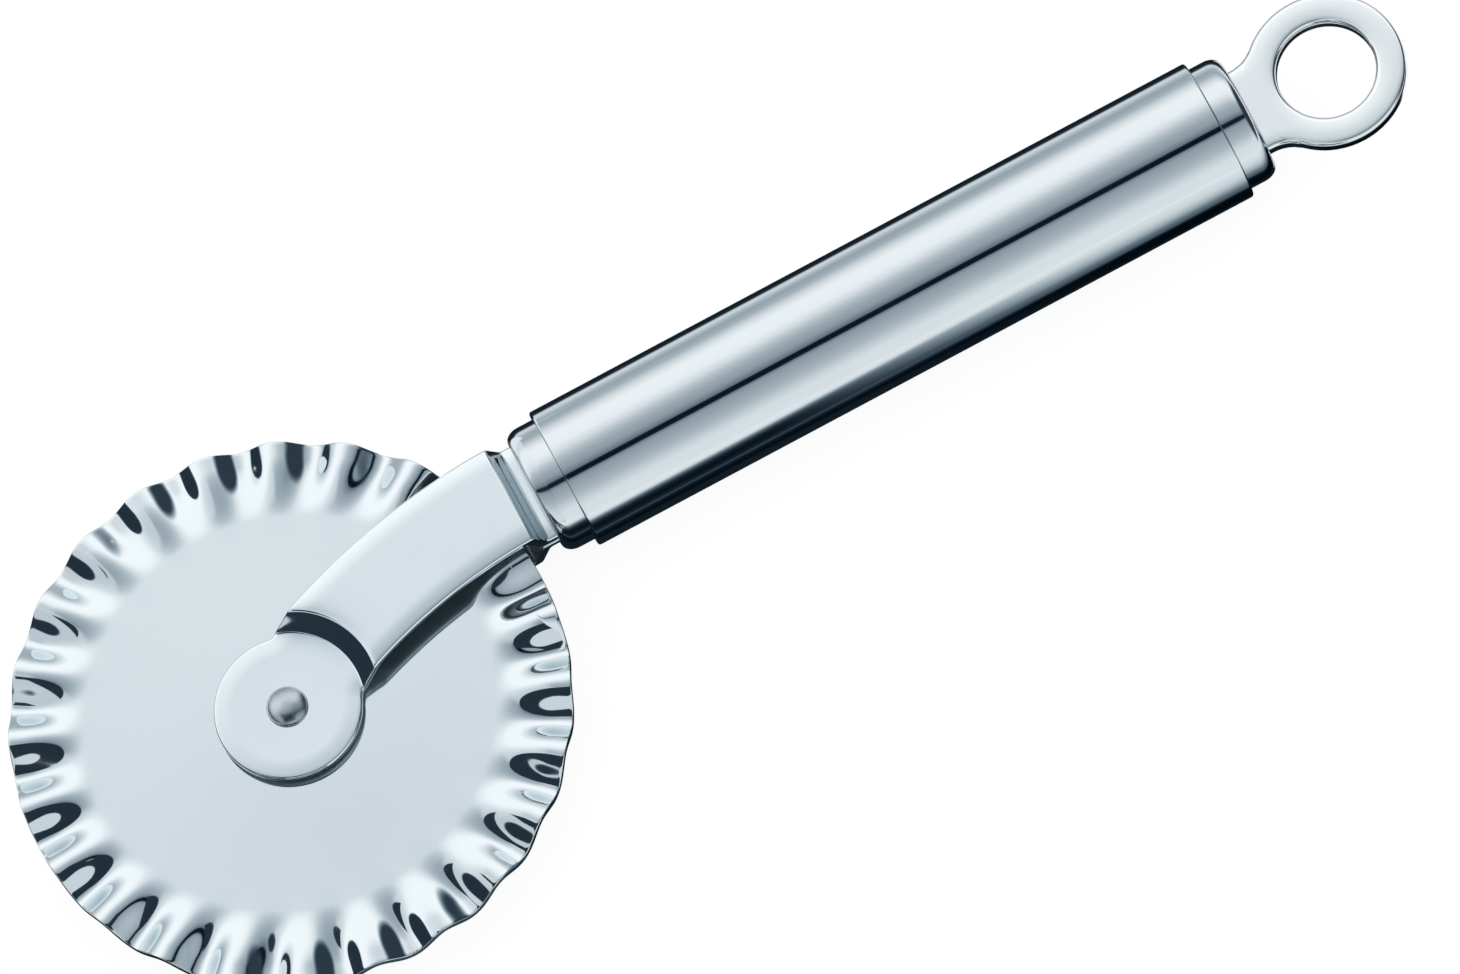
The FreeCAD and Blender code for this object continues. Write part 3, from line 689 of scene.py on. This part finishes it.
forkSizes = {
    "hub": 9.25 * mm, "hole": 2.05 * mm, "sheet": 1.4 * mm, "hubLevel": 0.9 * mm, "armLevel": 3.2 * mm,
    "hubCorner": 1.6 * mm, "hubStep": 9.4 * mm, "hubBend": 45, "neckBend": 64, "bend": 0.6 * mm,
    "topShare": 0.86, "bottomShare": 0.39, "forwardShare": 0.75,   # where the blade leaves the hub
    "neckEnd": 38.1 * mm, "tangEnd": 50.1 * mm, "tangHalf": 6.7 * mm, "offset": 10.16 * mm,
    "hubSoft": 0.13 * mm, "neckSoft": 0.03 * mm, "softRun": 0.9 * mm,   # how faces turn into a step
    "coinedFoot": 0.4 * mm, "coinedEdge": 0.8 * mm,   # bends of the hub's step, coined sharp
    "round": 0.30 * mm, "roll": 2.4 * mm, "slope": 0.17,   # the rolled edge
    "cornerSteps": 6, "rollSteps": 6, "middle": 16, "around": 110, "circles": 50, "blends": 5,
    "firstLine": 17 * mm, "bladeLines": 10, "neckLines": 60,
}


def stepRun(rise, angle, pair):          # pair is the sum of the two bends' radii
    wall = (rise - pair * (1 - math.cos(angle))) / math.sin(angle)
    return pair * math.sin(angle) + wall * math.cos(angle)


# The height of a face at a spot on its way through a step from the near level to the far one.
def stepLevel(spot, start, end, near, far, nearBend, farBend, angle, soft):
    way = math.copysign(1.0, far - near)
    sine, cosine = math.sin(angle), math.cos(angle)
    run = forkSizes["softRun"]
    if spot <= start:
        return near + way * soft * math.exp((spot - start) / run)
    if spot >= end:
        return far - way * soft * math.exp((end - spot) / run)
    share = (spot - start) / (end - start)
    tilt = soft / run * (end - start)
    bow = share * (1 - share)
    ease = soft * (1 - 2 * share * share * (3 - 2 * share)) + tilt * bow * (1 - 2 * share)
    if spot < start + nearBend * sine:
        level = near + way * (nearBend - math.sqrt(nearBend ** 2 - (spot - start) ** 2))
    elif spot > end - farBend * sine:
        level = far - way * (farBend - math.sqrt(farBend ** 2 - (end - spot) ** 2))
    else:
        first = (start + nearBend * sine, near + way * nearBend * (1 - cosine))
        second = (end - farBend * sine, far - way * farBend * (1 - cosine))
        level = first[1] + (second[1] - first[1]) * (spot - first[0]) / (second[0] - first[0])
    return level + way * ease


def makeFork():
    low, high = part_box("axle_rivet")
    axle = (low + high) / 2
    size = forkSizes
    hub, sheet, gap, bend = size["hub"], size["sheet"], size["armLevel"], size["bend"]
    hubBend, neckBend = math.radians(size["hubBend"]), math.radians(size["neckBend"])
    hubStart, neckEnd = size["hubStep"], size["neckEnd"]
    foot, edge = size["coinedFoot"], size["coinedEdge"]
    hubEnd = hubStart + stepRun(gap - size["hubLevel"], hubBend, foot + edge)
    neckStart = neckEnd - stepRun(gap, neckBend, bend * 2)
    behind = (sheet + foot - edge) * math.tan(hubBend / 2)    # how much later the far face steps up
    before = sheet * math.tan(neckBend / 2)                   # and how much earlier it steps down

    def levels(x, y):
        radius = math.hypot(x, y)
        both = []
        for top in (1, 0):
            late = 0 if top else behind
            bends = (foot, edge) if top else (edge, foot)
            level = stepLevel(radius, hubStart + late, hubEnd + late, size["hubLevel"] + sheet * top,
                              gap + sheet * top, *bends, hubBend, size["hubSoft"])
            early = 0 if top else before
            fall = stepLevel(x, neckStart - early, neckEnd - early, gap + sheet * top, sheet * top,
                             bend, bend, neckBend, size["neckSoft"])
            both.append(level + fall - gap - sheet * top)
        return both

    def longEdge(startX, startY, endY):
        run, rise = neckEnd - startX, endY - startY
        radius = (run ** 2 + rise ** 2) / (2 * rise)
        return (neckEnd, endY - radius), radius

    lowY, highY = size["offset"] - size["tangHalf"], size["offset"] + size["tangHalf"]
    lowEdge = longEdge(size["forwardShare"] * hub, -size["bottomShare"] * hub, lowY)
    highEdge = longEdge(0.0, size["topShare"] * hub, highY)
    lines = []
    spot = size["firstLine"]
    for end, count in ((neckStart - before - size["roll"], size["bladeLines"]),
                       (neckEnd + size["roll"], size["neckLines"])):
        lines += [spot + (end - spot) * (i + 1) / count for i in range(count)]
        spot = end
    lines.append(size["tangEnd"])
    plate = {**size, "eye": hub, "openHole": False, "corner": size["hubCorner"],
             "low": (*lowEdge, -1), "high": (*highEdge, 1), "lastCircle": hubEnd + size["roll"],
             "lines": lines, "levels": levels}
    finished = steel("fork steel", finish["fork"])
    for name, node, flip in (("near_arm", "upper_fork_arm", 1), ("far_arm", "lower_fork_arm", -1)):
        arm = rolledSheet(name, plate, axle, flip, 1)
        arm.data.materials.append(finished)
        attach(arm, "handle")
        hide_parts(node)
    print("fork: two joggled arms with rolled edges")


ringSizes = {
    "eye": 10 * mm, "hole": 6.2 * mm, "sheet": 2.4 * mm, "reach": 11 * mm, "tangHalf": 5.8 * mm,
    "tangDepth": 11 * mm, "corner": 5 * mm, "nearlyStraight": 1000.0,
    "round": 0.55 * mm, "roll": 1.9 * mm, "slope": 0.11,   # the rolled edge
    "cornerSteps": 7, "rollSteps": 4, "middle": 22, "around": 110, "circles": 12, "blends": 4,
    "lastCircle": 12.6 * mm, "firstLine": 14 * mm,
}


def makeRing():
    low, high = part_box("hanging_ring")
    size = ringSizes
    centre = (high.x - size["eye"], (low.y + high.y) / 2, (low.z + high.z) / 2)
    half, long = size["tangHalf"], size["nearlyStraight"]
    end = size["reach"] + size["tangDepth"]
    plate = {**size, "openHole": True, "lines": [end],
             "low": ((end, long - half), long, 1), "high": ((end, half - long), long, 1),
             "levels": lambda x, y: (size["sheet"] / 2, -size["sheet"] / 2)}
    ring = rolledSheet("hanging_eye", plate, centre, 1, -1)
    ring.data.materials.append(steel("ring steel", finish["ring"]))
    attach(ring, "handle")
    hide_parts("hanging_ring")
    print("ring: soft-edged eye on its tang")


rivetSizes = {
    "head": 2.6 * mm, "height": 1.1 * mm, "rim": 0.18 * mm, "rimRound": 0.12 * mm, "rimSteps": 4,
    "shank": 2.0 * mm, "middle": 0.03 * mm, "domeRings": 16, "around": 96,
    "lump": 0.02 * mm, "lumpScale": 900.0, "pit": 0.04 * mm, "pitWidth": 0.6 * mm,   # hammer marks
    "markedShare": 0.96, "markedPower": 6,      # how far out the marks go, and how suddenly they end
}


def makeRivet():
    low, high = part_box("axle_rivet")
    centre = (low + high) / 2
    size = rivetSizes
    top = (high.z - low.z) / 2
    foot = top - size["height"]
    crown = size["height"] - size["rim"]
    ball = (size["head"] ** 2 + crown ** 2) / (2 * crown)
    profile = []
    for i in range(1, size["domeRings"] + 1):
        r = (size["head"] - size["rimRound"]) * i / size["domeRings"]
        profile.append((r, top - ball + math.sqrt(ball ** 2 - r ** 2)))
    edgeRadius, edge = profile[-1]
    for i in range(1, size["rimSteps"] + 1):
        turn = math.pi / 2 * i / size["rimSteps"]
        drop = size["rimRound"] * (1 - math.cos(turn))
        profile.append((edgeRadius + size["rimRound"] * math.sin(turn), edge - drop))
    profile += [(size["head"], foot), (size["shank"], foot)]
    profile = [(size["middle"], top)] + profile
    profile += [(r, -z) for r, z in reversed(profile)]
    points, faces = [], []
    count = size["around"]
    marked = size["head"] * size["markedShare"]
    for r, z in profile:
        inner = max(0.0, 1 - (r / marked) ** size["markedPower"]) if abs(z) > foot else 0.0
        pit = size["pit"] * math.exp(-(r / size["pitWidth"]) ** 2)
        for a in range(count):
            angle = fullTurn * a / count
            x, y = r * math.cos(angle), r * math.sin(angle)
            lump = noise.noise(Vector((x, y, z)) * size["lumpScale"]) * size["lump"]
            rise = math.copysign(inner, z) * (lump - pit)
            points.append((centre.x + x, centre.y + y, centre.z + z + rise))
    for k in range(len(profile) - 1):
        for a in range(count):
            after = (a + 1) % count
            faces.append((k * count + a, (k + 1) * count + a, (k + 1) * count + after, k * count + after))
    faces += [tuple(range(count)), tuple(reversed(range(len(points) - count, len(points))))]
    rivet = newMesh("peened_rivet", points, faces)
    rivet.data.materials.append(steel("rivet steel", finish["rivet"]))
    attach(rivet, "handle")
    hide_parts("axle_rivet")
    print("rivet: peened at both ends")


handleSizes = {
    "radius": 9.225 * mm, "wall": 0.9 * mm, "endRound": 0.35 * mm, "capRadius": 8.275 * mm,
    "capRound": (1.9 * mm, 1.3 * mm),        # along the handle and across it
    "capLength": 15 * mm, "groove": (12.37 * mm, 13.93 * mm), "grooveRadius": 6.765 * mm,
    "slotDepth": 11.3 * mm, "cutOver": 1.0 * mm,   # the cutter starts this far outside the end face
    "frontSlot": (6.75 * mm, 1.45 * mm), "rearSlot": (5.85 * mm, 1.25 * mm),   # half width, half height
    "pinInset": 8 * mm, "pinHole": 1.28 * mm, "frontPins": (-3.5 * mm, 3.5 * mm), "rearPins": (0.0,),
    "around": 288, "roundSteps": 12, "aroundHole": 48, "sharpAngle": 40,
}


def turned(name, profile, start, way, closed):   # a profile of (along, radius) about the handle's axis
    count = handleSizes["around"]
    points, faces = [], []
    for along, radius in profile:
        for a in range(count):
            angle = fullTurn * (a + 0.5) / count   # half a step on, clear of the slot's middle plane
            points.append((start[0] + way * along, start[1] + radius * math.cos(angle),
                           start[2] + radius * math.sin(angle)))
    size = len(profile)
    for k in range(size if closed else size - 1):
        here, there = k * count, (k + 1) % size * count
        for a in range(count):
            after = (a + 1) % count
            faces.append((here + a, here + after, there + after, there + a))
    if not closed:
        faces += [tuple(reversed(range(count))), tuple(range((size - 1) * count, size * count))]
    if way < 0:
        faces = [tuple(reversed(f)) for f in faces]
    made = newMesh(name, points, faces)
    made.data.set_sharp_from_angle(angle=math.radians(handleSizes["sharpAngle"]))
    return made


def rounding(corner, run, rise):                 # from the end face to the side
    steps = handleSizes["roundSteps"]
    turns = [math.pi / 2 * i / steps for i in range(steps, -1, -1)]
    return [(corner[0] + run * (1 - math.sin(t)), corner[1] - rise * (1 - math.cos(t))) for t in turns]


def boxCutter(low, high):
    corners = [(x, y, z) for x in (low[0], high[0]) for y in (low[1], high[1]) for z in (low[2], high[2])]
    sides = [(0, 1, 3, 2), (4, 6, 7, 5), (0, 4, 5, 1), (2, 3, 7, 6), (0, 2, 6, 4), (1, 5, 7, 3)]
    return newMesh("slot_cutter", corners, sides, False)


def pinCutter(x, y, low, high):
    count = handleSizes["aroundHole"]
    reach = handleSizes["pinHole"]
    ring = [(x + reach * math.cos(fullTurn * a / count), y + reach * math.sin(fullTurn * a / count))
            for a in range(count)]
    points = [(*spot, low) for spot in ring] + [(*spot, high) for spot in ring]
    faces = [(a, (a + 1) % count, count + (a + 1) % count, count + a) for a in range(count)]
    faces += [tuple(reversed(range(count))), tuple(range(count, 2 * count))]
    return newMesh("pin_cutter", points, faces, False)


def cutAway(piece, cutters):
    for cutter in cutters:
        cut = piece.modifiers.new("cut", "BOOLEAN")
        cut.operation = "DIFFERENCE"
        cut.solver = "EXACT"
        cut.object = cutter
    bpy.context.view_layer.update()
    done = bpy.data.meshes.new_from_object(piece.evaluated_get(bpy.context.evaluated_depsgraph_get()))
    piece.modifiers.clear()
    piece.data = done
    for cutter in cutters:
        bpy.data.objects.remove(cutter)


def makeHandle():
    size = handleSizes
    low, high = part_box("handle_tube")
    middle = (low + high) / 2
    start = (low.x, middle.y, middle.z)
    length, radius, bore = high.x - low.x, size["radius"], size["radius"] - size["wall"]
    end = size["endRound"]
    profile = rounding((0.0, radius), end, end)
    profile += [(length - x, r) for x, r in reversed(profile)] + [(length, bore), (0.0, bore)]
    tube = turned("polished_tube", profile, start, 1, True)
    tube.data.materials.append(steel("handle steel", finish["tube"]))
    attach(tube, "handle")
    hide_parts("handle_tube")
    capSteel = steel("cap steel", finish["cap"])
    along, across = size["capRound"]
    groove, floor, capRadius = size["groove"], size["grooveRadius"], size["capRadius"]
    profile = rounding((0.0, capRadius), along, across)
    profile += [(groove[0], capRadius), (groove[0], floor), (groove[1], floor), (groove[1], capRadius),
                (size["capLength"], capRadius)]
    for name, node, way in (("front_plug", "front_cap", 1), ("rear_plug", "rear_cap", -1)):
        low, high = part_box(node)
        face = low.x if way > 0 else high.x
        half, thick = size["frontSlot" if way > 0 else "rearSlot"]
        plug = turned(name, profile, (face, middle.y, middle.z), way, False)
        ends = sorted((face - way * size["cutOver"], face + way * size["slotDepth"]))
        cutters = [boxCutter((ends[0], middle.y - half, middle.z - thick),
                             (ends[1], middle.y + half, middle.z + thick))]
        pinX = face + way * size["pinInset"]
        for shift in size["frontPins" if way > 0 else "rearPins"]:
            cutters.append(pinCutter(pinX, middle.y + shift, middle.z - radius, middle.z + radius))
        cutAway(plug, cutters)
        plug.data.materials.clear()
        plug.data.materials.append(capSteel)
        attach(plug, "handle")
        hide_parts(node)
    print("handle: tube and two plugs with their slots")


def dressNodes():
    dressing = [(steel("axle steel", finish["axle"]), ("axle_bush", "upper_washer", "lower_washer")),
                (steel("pin steel", finish["pin"]), ("tang_pins", "ring_pin")),
                (rubber("seal rubber", rubberLook), ("front_seal_ring", "rear_seal_ring"))]
    for material, names in dressing:
        for name in names:
            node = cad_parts[name]
            node.data.materials.clear()
            node.data.materials.append(material)
    print("hidden pieces: dressed")


makeStudio()
placeCamera()
makeFloor()
makeCards()
makeWheel()
makeFork()
makeRing()
makeRivet()
makeHandle()
dressNodes()

scene.view_settings.view_transform = "Standard"
